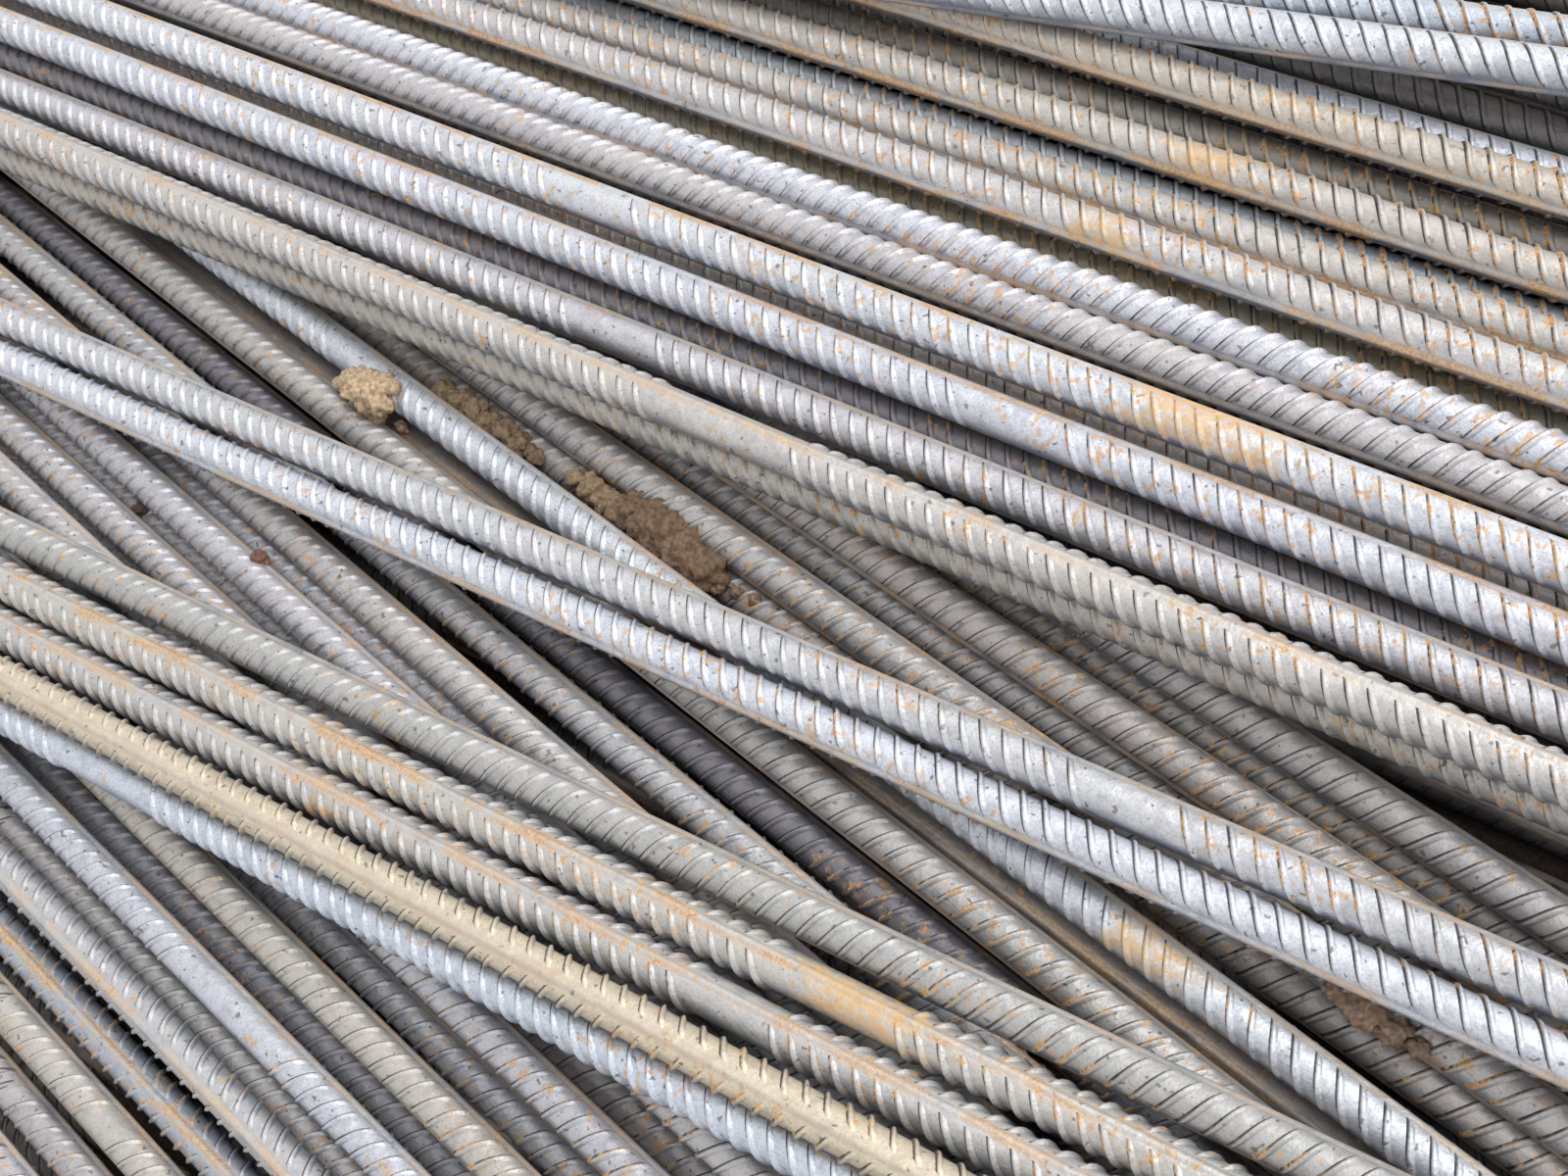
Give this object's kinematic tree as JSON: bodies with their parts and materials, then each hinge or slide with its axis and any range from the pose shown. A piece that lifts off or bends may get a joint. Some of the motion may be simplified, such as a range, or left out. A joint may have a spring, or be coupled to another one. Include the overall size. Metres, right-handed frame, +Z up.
{
  "type": "heap of reinforcing bars",
  "caption": "Loose heap of long ribbed reinforcing bars, laid in two directions that cross at a small angle, resting on the ground.",
  "frame": {"origin": "on the ground under the middle of the heap's bounding box", "axes": "+X along the bars, +Y across the heap, +Z up"},
  "size_m": [6.1803, 1.8739, 0.2808],
  "materials": {
    "bottom_course": "matte mill scale with rust and dust",
    "second_course": "matte mill scale with rust and dust",
    "slant_bars_low": "matte mill scale with rust and dust",
    "slant_bars_near": "matte mill scale with rust and dust",
    "slant_bars_front": "matte mill scale with rust and dust",
    "slant_bars_middle": "matte mill scale with rust and dust",
    "slant_bars_back": "matte mill scale with rust and dust",
    "middle_bar_low": "matte mill scale with rust and dust",
    "front_bar_low": "matte mill scale with rust and dust",
    "middle_bars": "matte mill scale with rust and dust",
    "front_bars": "matte mill scale with rust and dust",
    "back_bars_low": "matte mill scale with rust and dust",
    "back_bars": "matte mill scale with rust and dust",
    "askew_bars": "matte mill scale with rust and dust"
  },
  "bodies": {
    "root": {"bottom_course": "bottom_course", "second_course": "second_course", "slant_bars_low": "slant_bars_low", "slant_bars_near": "slant_bars_near", "slant_bars_front": "slant_bars_front", "slant_bars_middle": "slant_bars_middle", "slant_bars_back": "slant_bars_back", "middle_bar_low": "middle_bar_low", "front_bar_low": "front_bar_low", "middle_bars": "middle_bars", "front_bars": "front_bars", "back_bars_low": "back_bars_low", "back_bars": "back_bars", "askew_bars": "askew_bars"}
  },
  "joints": []
}
